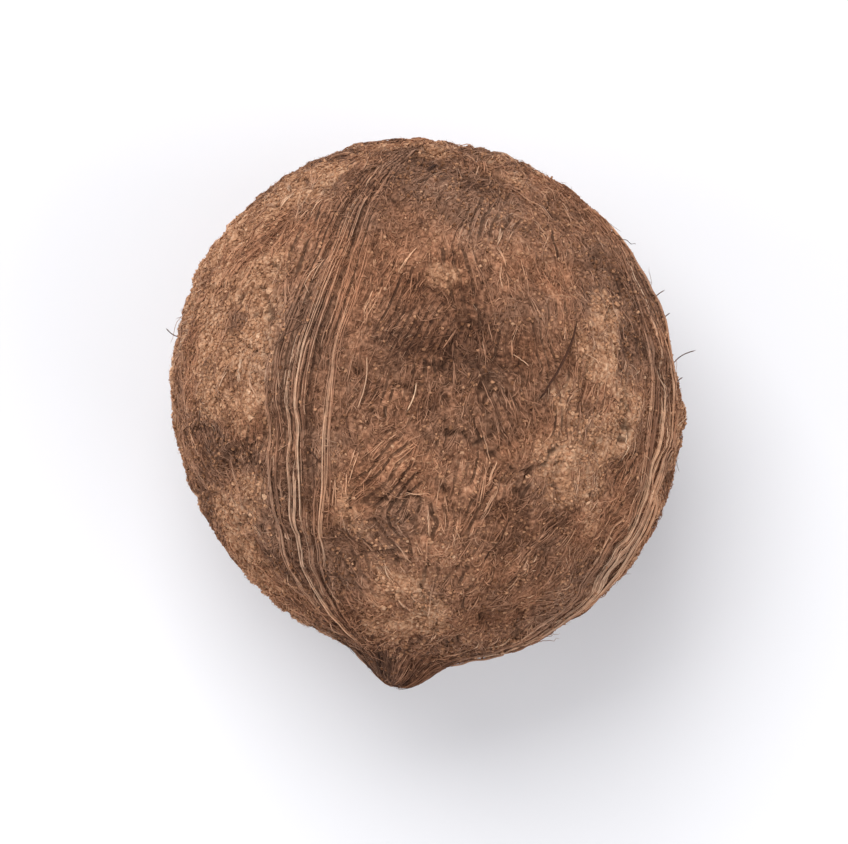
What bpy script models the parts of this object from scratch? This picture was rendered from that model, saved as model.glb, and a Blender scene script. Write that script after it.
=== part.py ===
"""Husked whole coconut, lying on its side on a small flat spot.

The long axis runs along Y, with the pointed tip at -Y and the three eyes at +Y.
Every surface point is placed by two angles: how far round from the tip it is, and
its longitude about the long axis, counted from +Z towards +X.
"""

import math

import bmesh
import bpy
import numpy as np
from mathutils import Vector, noise

# Whole body, in metres
BODY_RADIUS = 0.04047
BLUNT_END_SWELL = 0.00145
END_STRETCH = 0.00037
CROOKED_GROWTH = 0.0011

# Three seams where the husk's lobes met, as longitudes in degrees
SEAM_LONGITUDES = (-28.5, 65.0, 210.0)
SEAM_SWELL = 0.0007
SEAM_SWELL_WIDTH = math.radians(20.0)
SEAM_WANDER = math.radians(3.0)
WANDERS_ALONG = 1.7
WANDER_STEP = 7.3

# Bundles of long strands that stand up along each seam
STRAND_RISE = 0.0007
STRAND_SPACING = math.radians(6.4)
STRAND_BAND = math.radians(9.5)
STRAND_BED = 0.35
STRAND_MEAN = 0.75
STRAND_UNEVENNESS = 0.5
PATCHES_ACROSS = 9.0
PATCHES_ALONG = 2.0
PATCH_STEP = 3.1

# Felted fibre between the seams: long streaks, lumps and shallow pits
STREAK_HEIGHT = 0.0005
STREAKS_AROUND = 11.0
STREAKS_ALONG = 2.6
LUMP_HEIGHT = 0.00035
LUMP_SPACING = 0.0068
LUMP_START = Vector((4.6, 6.1, 9.2))
PIT_DEPTH = 0.0009
PIT_SPACING = 0.011
PIT_START = Vector((11.0, 5.0, 3.0))
PIT_THRESHOLD = 0.18

# Blunt point where all the fibres meet
TIP_HEIGHT = 0.0049
TIP_RADIUS = 0.0057
TIP_BLUNTNESS = 2.2
TIP_LEAN = Vector((0.0011, 0.0, 0.0004))

# Three sunken eyes round the other end, one in each lobe
EYE_LONGITUDES = (18.0, 137.5, 270.5)
EYE_DISTANCE = 0.0108
EYE_RADIUS = 0.0036
EYE_STEEPNESS = 3
EYE_DEPTHS = (0.0024, 0.0018, 0.0018)
EYE_RIM_RISE = 0.0004
EYE_RIM_MIDDLE = 1.5
EYE_RIM_WIDTH = 0.5
EYE_END_HOLLOW = 0.0007
EYE_END_HOLLOW_RADIUS = 0.0075

# Relief of either end stops where the surface has turned 60 degrees from that end
END_ZONE = math.cos(math.radians(60.0))

# Flat spot that it lies on
FLAT_SPOT_DEPTH = 0.0017

# Grid of the surface
GRID_CELLS = 30
TIP_CAP_ANGLE = math.radians(30.0)
EYE_CAP_ANGLE = math.radians(32.0)
SEAM_CROWDING = 1.5
SEAM_CROWDING_WIDTH = math.radians(12.0)
LONGITUDE_SAMPLES = 3600

# Dry coir
FIBRE_COLOUR = (0.205, 0.108, 0.062, 1.0)
FIBRE_ROUGHNESS = 0.92


def angle_between(first, second):
    """The signed turn from second to first, between -pi and pi."""
    return (first - second + math.pi) % (2.0 * math.pi) - math.pi


def square_longitude(across, up):
    """Turns a point on a square's edge into a longitude, evenly spaced along the edge."""
    quarter = math.pi / 4.0
    if abs(up) >= abs(across):
        turn = quarter * across / abs(up)
        return turn if up > 0.0 else math.pi - turn
    turn = quarter * up / abs(across)
    return math.copysign(math.pi / 2.0 - turn, across)


def crowded_longitudes():
    """Even longitudes, and where each goes so that the grid is finer along the seams."""
    even = np.linspace(-math.pi, math.pi, LONGITUDE_SAMPLES + 1)
    density = np.ones_like(even)
    for seam in SEAM_LONGITUDES:
        away = (even - math.radians(seam) + math.pi) % (2.0 * math.pi) - math.pi
        density += SEAM_CROWDING * np.exp(-((away / SEAM_CROWDING_WIDTH) ** 2))
    steps = 0.5 * (density[1:] + density[:-1])
    reached = np.concatenate(([0.0], np.cumsum(steps)))
    return reached / reached[-1] * 2.0 * math.pi - math.pi, even


def surface_angles(corner, crowding):
    """The angle from the tip and the longitude of a point on the starting cube."""
    ring = max(abs(corner.x), abs(corner.z))
    if ring < 1e-6:
        longitude = 0.0
    else:
        longitude = square_longitude(corner.x / ring, corner.z / ring)
    longitude = float(np.interp(angle_between(longitude, 0.0), *crowding))
    if ring < 1.0 - 1e-6:
        if corner.y < 0.0:
            return TIP_CAP_ANGLE * ring, longitude
        return math.pi - EYE_CAP_ANGLE * ring, longitude
    share = (corner.y + 1.0) / 2.0
    side = math.pi - TIP_CAP_ANGLE - EYE_CAP_ANGLE
    return TIP_CAP_ANGLE + side * share, longitude


def direction_of(from_tip, longitude):
    """The unit vector from the middle of the body through a surface point."""
    out = math.sin(from_tip)
    return Vector((out * math.sin(longitude), -math.cos(from_tip), out * math.cos(longitude)))


def body_radius(from_tip, longitude):
    """The smooth egg-like body, a little crooked, before any relief."""
    radius = BODY_RADIUS - BLUNT_END_SWELL * math.cos(from_tip)
    radius += END_STRETCH * math.cos(2.0 * from_tip)
    radius += CROOKED_GROWTH * math.sin(2.0 * from_tip) * math.sin(longitude)
    return radius


def seam_relief(from_tip, longitude):
    """The swell of each seam and the raised strands that run along its crest."""
    height = 0.0
    fade = math.sin(from_tip)
    for number, seam in enumerate(SEAM_LONGITUDES):
        lane = Vector((from_tip * WANDERS_ALONG, number * WANDER_STEP, 0.0))
        wander = SEAM_WANDER * noise.noise(lane)
        away = angle_between(longitude, math.radians(seam) + wander)
        height += SEAM_SWELL * fade * math.exp(-((away / SEAM_SWELL_WIDTH) ** 2))
        strands = math.cos(2.0 * math.pi * away / STRAND_SPACING)
        patch = Vector((away * PATCHES_ACROSS, from_tip * PATCHES_ALONG, number * PATCH_STEP))
        uneven = STRAND_MEAN + STRAND_UNEVENNESS * noise.noise(patch)
        band = math.exp(-((away / STRAND_BAND) ** 4))
        rise = STRAND_BED + (1.0 - STRAND_BED) * strands
        height += STRAND_RISE * fade * band * uneven * rise
    return height


def felt_relief(point, from_tip, longitude):
    """Streaks that run from end to end, with lumps and shallow pits among them."""
    fade = math.sin(from_tip)
    round_the_body = Vector((math.sin(longitude), math.cos(longitude), 0.0)) * STREAKS_AROUND
    streak = noise.noise(round_the_body + Vector((0.0, 0.0, from_tip * STREAKS_ALONG)))
    lump = noise.noise(point / LUMP_SPACING + LUMP_START)
    pit = noise.noise(point / PIT_SPACING + PIT_START)
    depth = min(1.0, max(0.0, (pit - PIT_THRESHOLD) / PIT_THRESHOLD))
    return fade * (STREAK_HEIGHT * streak + LUMP_HEIGHT * lump - PIT_DEPTH * depth * depth)


def tip_relief(point, from_tip):
    """The blunt point, steep at its crown and flowing into the body at its foot."""
    if math.cos(from_tip) < END_ZONE:
        return 0.0
    leaning = point - TIP_LEAN
    away = math.hypot(leaning.x, leaning.z) / TIP_RADIUS
    return TIP_HEIGHT * math.exp(-(away**TIP_BLUNTNESS))


def eye_relief(point, from_tip):
    """Three round hollows with low rims, round a shallow dip at the very end."""
    if math.cos(from_tip) > -END_ZONE:
        return 0.0
    off_axis = math.hypot(point.x, point.z)
    height = -EYE_END_HOLLOW * math.exp(-((off_axis / EYE_END_HOLLOW_RADIUS) ** 2))
    for longitude, depth in zip(EYE_LONGITUDES, EYE_DEPTHS):
        turn = math.radians(longitude)
        aside = point.x - EYE_DISTANCE * math.sin(turn)
        upward = point.z - EYE_DISTANCE * math.cos(turn)
        away = math.hypot(aside, upward) / EYE_RADIUS
        height -= depth * math.exp(-(away**EYE_STEEPNESS))
        height += EYE_RIM_RISE * math.exp(-(((away - EYE_RIM_MIDDLE) / EYE_RIM_WIDTH) ** 2))
    return height


def surface_point(from_tip, longitude):
    """The finished surface point, measured from the middle of the body."""
    toward = direction_of(from_tip, longitude)
    smooth = toward * body_radius(from_tip, longitude)
    height = seam_relief(from_tip, longitude)
    height += felt_relief(smooth, from_tip, longitude)
    height += tip_relief(smooth, from_tip)
    height += eye_relief(smooth, from_tip)
    return smooth + toward * height


def press_flat_spot(mesh_under_work):
    """Flattens the underside at one level, which is the spot that the nut lies on."""
    level = FLAT_SPOT_DEPTH - BODY_RADIUS
    for vert in mesh_under_work.verts:
        vert.co.z = max(vert.co.z, level)


def centre_on_its_base(mesh_under_work):
    """Moves the body so that it is centred in X and Y and its flat spot is at Z = 0."""
    places = np.array([vert.co[:] for vert in mesh_under_work.verts])
    middle = (places.min(axis=0) + places.max(axis=0)) / 2.0
    lowest = places[:, 2].min()
    bmesh.ops.translate(
        mesh_under_work,
        verts=mesh_under_work.verts,
        vec=Vector((-middle[0], -middle[1], -lowest)),
    )


def coir_material():
    """Dry, dull brown fibre."""
    material = bpy.data.materials.new("coir")
    material.use_nodes = True
    shader = material.node_tree.nodes["Principled BSDF"]
    shader.inputs["Base Color"].default_value = FIBRE_COLOUR
    shader.inputs["Roughness"].default_value = FIBRE_ROUGHNESS
    shader.inputs["Metallic"].default_value = 0.0
    return material


def coconut():
    """The whole husked nut as one closed body."""
    work = bmesh.new()
    bmesh.ops.create_cube(work, size=2.0)
    bmesh.ops.subdivide_edges(
        work, edges=work.edges[:], cuts=GRID_CELLS - 1, use_grid_fill=True
    )
    crowding = crowded_longitudes()
    for vert in work.verts:
        vert.co = surface_point(*surface_angles(vert.co, crowding))
    press_flat_spot(work)
    centre_on_its_base(work)
    bmesh.ops.recalc_face_normals(work, faces=work.faces[:])
    mesh = bpy.data.meshes.new("coconut")
    work.to_mesh(mesh)
    work.free()
    mesh.shade_smooth()
    mesh.materials.append(coir_material())
    body = bpy.data.objects.new("coconut", mesh)
    bpy.context.scene.collection.objects.link(body)


for leftover in list(bpy.data.objects):
    bpy.data.objects.remove(leftover, do_unlink=True)
coconut()
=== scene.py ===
# %% [markdown]
# A whole coconut without its husk: a hard ball covered in felted brown fibre, called
# coir. It lies on its side on a pale floor and the camera looks straight down on it, so
# its pointed tip shows below, as if the nut stood on it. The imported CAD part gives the
# place and the size, and everything below is laid over it.

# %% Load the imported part
import itertools
import math

import bmesh
import bpy
import numpy as np
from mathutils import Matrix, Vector, kdtree, noise


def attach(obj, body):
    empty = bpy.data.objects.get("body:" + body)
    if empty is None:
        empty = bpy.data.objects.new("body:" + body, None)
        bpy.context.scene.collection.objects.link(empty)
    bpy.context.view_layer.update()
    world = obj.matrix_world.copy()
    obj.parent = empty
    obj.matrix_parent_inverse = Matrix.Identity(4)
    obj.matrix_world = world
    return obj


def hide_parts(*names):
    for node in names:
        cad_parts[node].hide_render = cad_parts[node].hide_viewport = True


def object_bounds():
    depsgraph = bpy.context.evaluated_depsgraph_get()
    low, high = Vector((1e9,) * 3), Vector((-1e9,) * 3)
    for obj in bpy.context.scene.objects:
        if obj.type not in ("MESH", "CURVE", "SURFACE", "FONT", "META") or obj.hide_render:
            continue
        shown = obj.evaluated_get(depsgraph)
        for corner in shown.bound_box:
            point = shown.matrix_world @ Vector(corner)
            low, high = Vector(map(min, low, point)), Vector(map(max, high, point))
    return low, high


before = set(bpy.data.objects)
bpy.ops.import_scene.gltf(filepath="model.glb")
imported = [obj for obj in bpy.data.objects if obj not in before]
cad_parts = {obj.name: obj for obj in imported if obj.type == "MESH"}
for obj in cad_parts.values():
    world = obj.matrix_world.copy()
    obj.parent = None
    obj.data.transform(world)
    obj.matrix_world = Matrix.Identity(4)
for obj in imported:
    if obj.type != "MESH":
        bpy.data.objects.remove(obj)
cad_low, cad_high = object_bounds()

NUT_NODE = "coconut"
FLOOR_LEVEL = 0.0
print("CAD box in mm", [round(1000.0 * (high - low), 1) for low, high in zip(cad_low, cad_high)])

# %% [markdown]
# The nut's own form comes first. Each point of the skin is found by two angles: how far
# round it is from the tip, and its longitude about the long axis, counted from straight up
# towards +X. The same formulas made the CAD solid, so this form lies on that one. A table
# of the distance from the middle is worked out once, because thousands of fibres will ask
# for it later.

# %% Sizes of the nut's form
BODY_RADIUS = 0.04047
BLUNT_END_SWELL = 0.00145
END_STRETCH = 0.00037
CROOKED_GROWTH = 0.0011
SEAM_LONGITUDES = (-28.5, 65.0, 210.0)
SEAM_SWELL = 0.0007
SEAM_SWELL_WIDTH = math.radians(20.0)
SEAM_WANDER = math.radians(3.0)
STRAND_RISE = 0.0007
STRAND_SPACING = math.radians(6.4)
STRAND_BAND = math.radians(9.5)
STREAK_HEIGHT = 0.0005
STREAKS_AROUND = 11.0
STREAKS_ALONG = 2.6
LUMP_HEIGHT = 0.00035
LUMP_SPACING = 0.0068
LUMP_START = Vector((4.6, 6.1, 9.2))
PIT_DEPTH = 0.0009
PIT_SPACING = 0.011
PIT_START = Vector((11.0, 5.0, 3.0))
PIT_THRESHOLD = 0.18
TIP_HEIGHT = 0.0049
TIP_RADIUS = 0.0057
TIP_BLUNTNESS = 2.2
TIP_LEAN = Vector((0.0011, 0.0, 0.0004))
EYE_LONGITUDES = (18.0, 137.5, 270.5)
EYE_DISTANCE = 0.0108
EYE_RADIUS = 0.0036
EYE_DEPTHS = (0.0024, 0.0018, 0.0018)
EYE_RIM_RISE = 0.0004
EYE_RIM_MIDDLE = 1.5
EYE_RIM_WIDTH = 0.5
EYE_END_HOLLOW = 0.0007
EYE_END_HOLLOW_RADIUS = 0.0075
TABLE_ROWS = 241
TABLE_COLUMNS = 480


# %% Distance from the middle to the skin
def angle_between(first, second):
    """The signed turn from second to first, between -pi and pi."""
    return (first - second + math.pi) % (2.0 * math.pi) - math.pi


def body_radius(from_tip, longitude):
    """The smooth egg-like body, a little crooked, before any relief."""
    radius = BODY_RADIUS - BLUNT_END_SWELL * math.cos(from_tip)
    radius += END_STRETCH * math.cos(2.0 * from_tip)
    radius += CROOKED_GROWTH * math.sin(2.0 * from_tip) * math.sin(longitude)
    return radius


def seam_centre(number, from_tip):
    """The longitude of a seam, which wanders a little on its way from end to end."""
    wander = SEAM_WANDER * noise.noise(Vector((from_tip * 1.7, number * 7.3, 0.0)))
    return math.radians(SEAM_LONGITUDES[number]) + wander


def seam_relief(from_tip, longitude):
    """The swell of each seam and the raised strands that run along its crest."""
    height = 0.0
    fade = math.sin(from_tip)
    for number in range(len(SEAM_LONGITUDES)):
        away = angle_between(longitude, seam_centre(number, from_tip))
        height += SEAM_SWELL * fade * math.exp(-((away / SEAM_SWELL_WIDTH) ** 2))
        strands = math.cos(2.0 * math.pi * away / STRAND_SPACING)
        uneven = 0.75 + 0.5 * noise.noise(Vector((away * 9.0, from_tip * 2.0, number * 3.1)))
        band = math.exp(-((away / STRAND_BAND) ** 4))
        height += STRAND_RISE * fade * band * uneven * (0.35 + 0.65 * strands)
    return height


def felt_relief(point, from_tip, longitude):
    """Streaks that run from end to end, with lumps and shallow pits among them."""
    fade = math.sin(from_tip)
    round_the_body = Vector((math.sin(longitude), math.cos(longitude), 0.0)) * STREAKS_AROUND
    streak = noise.noise(round_the_body + Vector((0.0, 0.0, from_tip * STREAKS_ALONG)))
    lump = noise.noise(point / LUMP_SPACING + LUMP_START)
    pit = noise.noise(point / PIT_SPACING + PIT_START)
    depth = min(1.0, max(0.0, (pit - PIT_THRESHOLD) / PIT_THRESHOLD))
    return fade * (STREAK_HEIGHT * streak + LUMP_HEIGHT * lump - PIT_DEPTH * depth * depth)


def tip_relief(point, from_tip):
    """The blunt point, steep at its crown and flowing into the body at its foot."""
    if math.cos(from_tip) < 0.5:
        return 0.0
    leaning = point - TIP_LEAN
    away = math.hypot(leaning.x, leaning.z) / TIP_RADIUS
    return TIP_HEIGHT * math.exp(-(away**TIP_BLUNTNESS))


def eye_relief(point, from_tip):
    """Three round hollows with low rims, round a shallow dip at the very end."""
    if math.cos(from_tip) > -0.5:
        return 0.0
    off_axis = math.hypot(point.x, point.z)
    height = -EYE_END_HOLLOW * math.exp(-((off_axis / EYE_END_HOLLOW_RADIUS) ** 2))
    for longitude, depth in zip(EYE_LONGITUDES, EYE_DEPTHS):
        turn = math.radians(longitude)
        aside = point.x - EYE_DISTANCE * math.sin(turn)
        upward = point.z - EYE_DISTANCE * math.cos(turn)
        away = math.hypot(aside, upward) / EYE_RADIUS
        height -= depth * math.exp(-(away**3))
        height += EYE_RIM_RISE * math.exp(-(((away - EYE_RIM_MIDDLE) / EYE_RIM_WIDTH) ** 2))
    return height


def skin_distance(from_tip, longitude):
    """How far the skin is from the nut's middle in one direction."""
    out = math.sin(from_tip)
    toward = Vector((out * math.sin(longitude), -math.cos(from_tip), out * math.cos(longitude)))
    radius = body_radius(from_tip, longitude)
    smooth = toward * radius
    height = seam_relief(from_tip, longitude) + felt_relief(smooth, from_tip, longitude)
    return radius + height + tip_relief(smooth, from_tip) + eye_relief(smooth, from_tip)


skin_table = np.array([
    [
        skin_distance(math.pi * row / (TABLE_ROWS - 1), 2.0 * math.pi * column / TABLE_COLUMNS)
        for column in range(TABLE_COLUMNS)
    ]
    for row in range(TABLE_ROWS)
])
print("skin from", round(1000 * skin_table.min(), 2), "to", round(1000 * skin_table.max(), 2), "mm")

# %% [markdown]
# Numpy does the same sums for thousands of points at once. Directions are unit vectors from
# the nut's middle. A cloud is smooth random noise: a lattice of seeded random numbers, read
# between its points. Clouds steer the fibres, lift them and choose their colour.

# %% Reading the form at many points at once
TIP_WAY = np.array((0.0, -1.0, 0.0))
LATTICE_SIDE = 32


def polar(ways):
    """The angle from the tip and the longitude of each direction."""
    from_tip = np.arccos(np.clip(-ways[..., 1], -1.0, 1.0))
    return from_tip, np.arctan2(ways[..., 0], ways[..., 2])


def skin(ways):
    """The distance from the middle to the skin in each direction, from the table."""
    from_tip, longitude = polar(ways)
    row = from_tip / math.pi * (TABLE_ROWS - 1)
    column = (longitude % (2.0 * math.pi)) / (2.0 * math.pi) * TABLE_COLUMNS
    top = np.minimum(row.astype(int), TABLE_ROWS - 2)
    left = column.astype(int) % TABLE_COLUMNS
    down = row - top
    across = column - np.floor(column)
    right = (left + 1) % TABLE_COLUMNS
    upper = skin_table[top, left] * (1 - across) + skin_table[top, right] * across
    lower = skin_table[top + 1, left] * (1 - across) + skin_table[top + 1, right] * across
    return upper * (1 - down) + lower * down


def cloud(points, spacing, seed):
    """Smooth random values from -1 to 1 that change over about this distance."""
    lattice = np.random.default_rng(seed).uniform(-1.0, 1.0, (LATTICE_SIDE,) * 3)
    scaled = points / spacing + 400.0
    cell = np.floor(scaled).astype(int)
    part = scaled - cell
    part = part * part * (3.0 - 2.0 * part)
    total = np.zeros(points.shape[:-1])
    for corner in itertools.product((0, 1), repeat=3):
        index = (cell + corner) % LATTICE_SIDE
        weight = np.prod(np.where(corner, part, 1.0 - part), axis=-1)
        total += weight * lattice[index[..., 0], index[..., 1], index[..., 2]]
    return total


def step_up(values, low, high):
    """A smooth rise from 0 at low to 1 at high."""
    part = np.clip((values - low) / (high - low), 0.0, 1.0)
    return part * part * (3.0 - 2.0 * part)


def meridian(ways):
    """At each direction, the unit vector along the skin towards the tip."""
    along = TIP_WAY - ways * (ways @ TIP_WAY)[..., None]
    return along / np.maximum(np.linalg.norm(along, axis=-1, keepdims=True), 1e-9)


# %% [markdown]
# Four masks say what grows where. The seams carry long strands, the tip is darker and
# combed tight, the eyes are bare shell, and between the seams lie patches where the corky
# pith shows through thin felt. The lobe on the left of the seam is the corkiest. Right of
# the seam the thick felt is much darker, over an area the size of a coin.

# %% Zones of the skin
EYE_CENTRES = [
    np.array((
        EYE_DISTANCE * math.sin(math.radians(turn)),
        math.sqrt(BODY_RADIUS**2 - EYE_DISTANCE**2),
        EYE_DISTANCE * math.cos(math.radians(turn)),
    )) / BODY_RADIUS
    for turn in EYE_LONGITUDES
]
TIP_ZONE = 0.0082
SEAM_ZONE = math.radians(9.0)
CORKY_LONGITUDE = math.radians(-80.0)
CORKY_BIAS = 0.30
EYE_EDGE_WANDER = 0.10
DARK_LONGITUDE = math.radians(4.0)
DARK_WIDTH = math.radians(27.0)
DARK_FROM_TIP = math.radians(105.0)
DARK_LENGTH = math.radians(19.0)
SEAM_ANGLES = np.linspace(0.0, math.pi, 181)
seam_lines = [
    np.array([seam_centre(number, angle) for angle in SEAM_ANGLES])
    for number in range(len(SEAM_LONGITUDES))
]


def from_seam(ways, number):
    """The turn from the crest of a seam to each direction."""
    from_tip, longitude = polar(ways)
    return angle_between(longitude, np.interp(from_tip, SEAM_ANGLES, seam_lines[number]))


def seam_zone(ways):
    """1 along the seams, falling to 0 on either side and at both ends of the nut."""
    near = np.zeros(ways.shape[:-1])
    for number in range(len(SEAM_LONGITUDES)):
        near = np.maximum(near, np.exp(-((from_seam(ways, number) / SEAM_ZONE) ** 4)))
    return near * step_up(np.sin(polar(ways)[0]), 0.12, 0.4)


def seam_gap(ways):
    """1 in the gaps between the ridges of strands, and 0 on the ridges."""
    gap = np.zeros(ways.shape[:-1])
    for number in range(len(SEAM_LONGITUDES)):
        away = from_seam(ways, number)
        turns = away / STRAND_SPACING + 0.5
        low = 1.0 - step_up(np.abs(turns - np.round(turns)), 0.01, 0.10)
        gap = np.maximum(gap, low * np.exp(-((away / STRAND_BAND) ** 4)))
    return gap * step_up(np.sin(polar(ways)[0]), 0.12, 0.4)


def tip_zone(ways):
    """1 at the tip, falling to 0 a little way up the body."""
    off_axis = np.hypot(ways[..., 0], ways[..., 2]) * BODY_RADIUS
    return np.where(ways[..., 1] < 0.0, np.exp(-((off_axis / TIP_ZONE) ** 2)), 0.0)


def from_eye(ways):
    """The distance from the nearest eye's middle, in eye radii, with a ragged edge."""
    away = [np.linalg.norm(ways - centre, axis=-1) for centre in EYE_CENTRES]
    ragged = EYE_EDGE_WANDER * cloud(ways * BODY_RADIUS, 0.0012, 74)
    return np.min(away, axis=0) * BODY_RADIUS / EYE_RADIUS + ragged


def eye_zone(ways):
    """1 inside an eye and 0 outside its rim."""
    return 1.0 - step_up(from_eye(ways), 0.92, 1.12)


def eye_rim_shade(ways):
    """1 just inside the rim of an eye, where the ground gets painted shade, and 0 elsewhere."""
    return np.exp(-(((from_eye(ways) - 0.90) / 0.20) ** 2))


def dark_zone(ways):
    """1 in the middle of the dark felt beside the first seam, falling to 0 around it."""
    from_tip, longitude = polar(ways)
    aside = angle_between(longitude, DARK_LONGITUDE) / DARK_WIDTH
    ahead = (from_tip - DARK_FROM_TIP) / DARK_LENGTH
    return np.exp(-(aside**2) - ahead**2)


def cork_zone(ways):
    """1 where the pith shows through, 0 under thick felt."""
    places = ways * BODY_RADIUS
    blotch = cloud(places, 0.013, 21) + 0.6 * cloud(places, 0.005, 22)
    blotch = blotch + CORKY_BIAS * np.cos(polar(ways)[1] - CORKY_LONGITUDE)
    blotch = blotch - 0.8 * dark_zone(ways)
    return step_up(blotch, 0.1, 0.5) * (1.0 - seam_zone(ways)) * (1.0 - tip_zone(ways))


def tone(ways):
    """How much paler or darker than the rest the coir is, in broad and middling patches."""
    places = ways * BODY_RADIUS
    broad = 0.12 * cloud(places, 0.016, 71) + 0.12 * cloud(places, 0.0045, 72)
    broad = broad + 0.06 * cloud(places, 0.0022, 73)
    return broad + 0.15 * cork_zone(ways) - 0.38 * tip_zone(ways) - 0.29 * dark_zone(ways)


# %% [markdown]
# Old felt is matted like bark. It breaks up into patches a centimetre wide, and in each
# one the fibre lies one way and has shrunk into fine ridges with grooves between them, like
# the lines of a fingerprint. So the ball is divided among random patch centres, each with
# a heading near the way to the tip. A phase grows by one from groove to groove. The same
# phase places the fibres and paints shade into the ground along the grooves, so that the
# two always agree.

# %% How the felt is combed
PATCHES = 190
PATCH_TURN = 0.50
STREAKED_LONGITUDE = math.radians(6.0)
STREAKED_WIDTH = math.radians(30.0)
PATCH_WARP = 0.05
PATCH_WARP_SPACING = 0.006
BORDER_WIDTH = 0.035
GROOVE_SPACINGS = (0.0012, 0.0019)
SEAM_GROOVE_SPACING = math.radians(1.28)
SEAM_STRAIGHTNESS = 0.75
GROOVE_WAVES = 0.70
GROOVE_WAVE_SPACING = 0.0045
GROOVE_KINKS = 0.16
GROOVE_KINK_SPACING = 0.0017
FAINTEST_GROOVE = 0.45
GROOVES_COUNTED = 64
GROOVE_INNER = 0.07
GROOVE_OUTER = 0.20
GROOVE_DEPTH = 0.00050
BRINK_MIDDLE = 0.27
BRINK_WIDTH = 0.08
LUMP_RISE = 0.00032
FURROW_DEPTH = 0.00055
FURROW_WIDTH = 0.085
FURROW_SPACING = 0.0052
CRACK_SPACING = 0.0040
CORK_RISE = 0.00050
PROBE_STEP = 0.004


def scattered(count, random):
    """Directions scattered evenly over the ball."""
    ways = random.normal(size=(count, 3))
    return ways / np.linalg.norm(ways, axis=1, keepdims=True)


def turned_way(ways, headings):
    """Unit vectors along the skin, turned by each heading from the way to the tip."""
    along = meridian(ways)
    across = np.cross(ways, along)
    return np.cos(headings)[..., None] * along + np.sin(headings)[..., None] * across


patch_random = np.random.default_rng(40)
patch_ways = scattered(PATCHES, patch_random)
patch_calm = (1.0 - 0.9 * seam_zone(patch_ways)) * (1.0 - 0.9 * tip_zone(patch_ways))
patch_longitudes = polar(patch_ways)[1]
patch_streak = angle_between(patch_longitudes, STREAKED_LONGITUDE) / STREAKED_WIDTH
patch_calm = patch_calm * (1.0 - 0.65 * np.exp(-(patch_streak**2)))
patch_turns = patch_random.normal(0.0, PATCH_TURN, PATCHES) * patch_calm
patch_sideways = np.cross(patch_ways, turned_way(patch_ways, patch_turns))
patch_spacings = patch_random.uniform(*GROOVE_SPACINGS, PATCHES)
groove_depths = patch_random.uniform(FAINTEST_GROOVE, 1.0, (PATCHES, GROOVES_COUNTED))


def patches_at(ways):
    """The patch that each direction lies in, and 1 at its border falling to 0 inside.

    The seams are patches too, and have the numbers after the last scattered one.
    """
    places = ways * BODY_RADIUS
    shift = [cloud(places, PATCH_WARP_SPACING, seed) for seed in (61, 62, 63)]
    near = (ways + PATCH_WARP * np.stack(shift, axis=-1)) @ patch_ways.T
    patch = near.argmax(axis=-1)
    closest = np.take_along_axis(near, patch[..., None], axis=-1)[..., 0]
    np.put_along_axis(near, patch[..., None], -1.0, axis=-1)
    clear = np.arccos(np.clip(near.max(axis=-1), -1, 1)) - np.arccos(np.clip(closest, -1, 1))
    border = 1.0 - step_up(clear, 0.0, BORDER_WIDTH)
    away = np.stack([from_seam(ways, number) for number in range(len(SEAM_LONGITUDES))])
    seam = np.abs(away).argmin(axis=0)
    lane = seam_zone(ways)
    patch = np.where(lane > 0.5, PATCHES + seam, patch)
    border = np.where(lane > 0.5, 0.0, border)
    return patch, np.maximum(border, 1.0 - step_up(np.abs(lane - 0.5), 0.05, 0.25))


def phase_in(ways, patch):
    """Counts the grooves of a patch. Whole numbers are the middles of the grooves."""
    places = ways * BODY_RADIUS
    flat = np.minimum(patch, PATCHES - 1)
    count = (places * patch_sideways[flat]).sum(axis=-1) / patch_spacings[flat]
    for number in range(len(SEAM_LONGITUDES)):
        lines = from_seam(ways, number) / SEAM_GROOVE_SPACING
        count = np.where(patch == PATCHES + number, lines, count)
    waves = GROOVE_WAVES * cloud(places, GROOVE_WAVE_SPACING, 64)
    waves = waves + GROOVE_KINKS * cloud(places, GROOVE_KINK_SPACING, 67)
    return count + waves * np.where(patch >= PATCHES, 1.0 - SEAM_STRAIGHTNESS, 1.0)


def groove_strength(ways, patch, phase, border):
    """How clearly a groove shows. Each has its own depth, and fades and breaks off."""
    places = ways * BODY_RADIUS
    own = groove_depths[patch % PATCHES, np.round(phase).astype(int) % GROOVES_COUNTED]
    own = np.where(patch >= PATCHES, 0.5 + 0.5 * own, own)
    strength = own * step_up(cloud(places, 0.0040, 65), -0.55, -0.15) * (1.0 - border)
    strength = strength * step_up(cloud(places, 0.015, 66), -0.8, -0.35)
    strength = strength * (1.0 - 0.55 * cork_zone(ways))
    return strength * (1.0 - tip_zone(ways)) * (1.0 - eye_zone(ways))


def grooves_and_brinks(ways):
    """How deep in a groove each direction is, and how close to the brink of one."""
    patch, border = patches_at(ways)
    phase = phase_in(ways, patch)
    away = np.abs(phase - np.round(phase))
    strength = groove_strength(ways, patch, phase, border)
    line = 1.0 - step_up(away, GROOVE_INNER, GROOVE_OUTER)
    brink = np.exp(-(((away - BRINK_MIDDLE) / BRINK_WIDTH) ** 2))
    return line * strength, brink * strength


def grooves(ways):
    """1 in the middle of a groove and 0 on the ridges."""
    return grooves_and_brinks(ways)[0]


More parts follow.
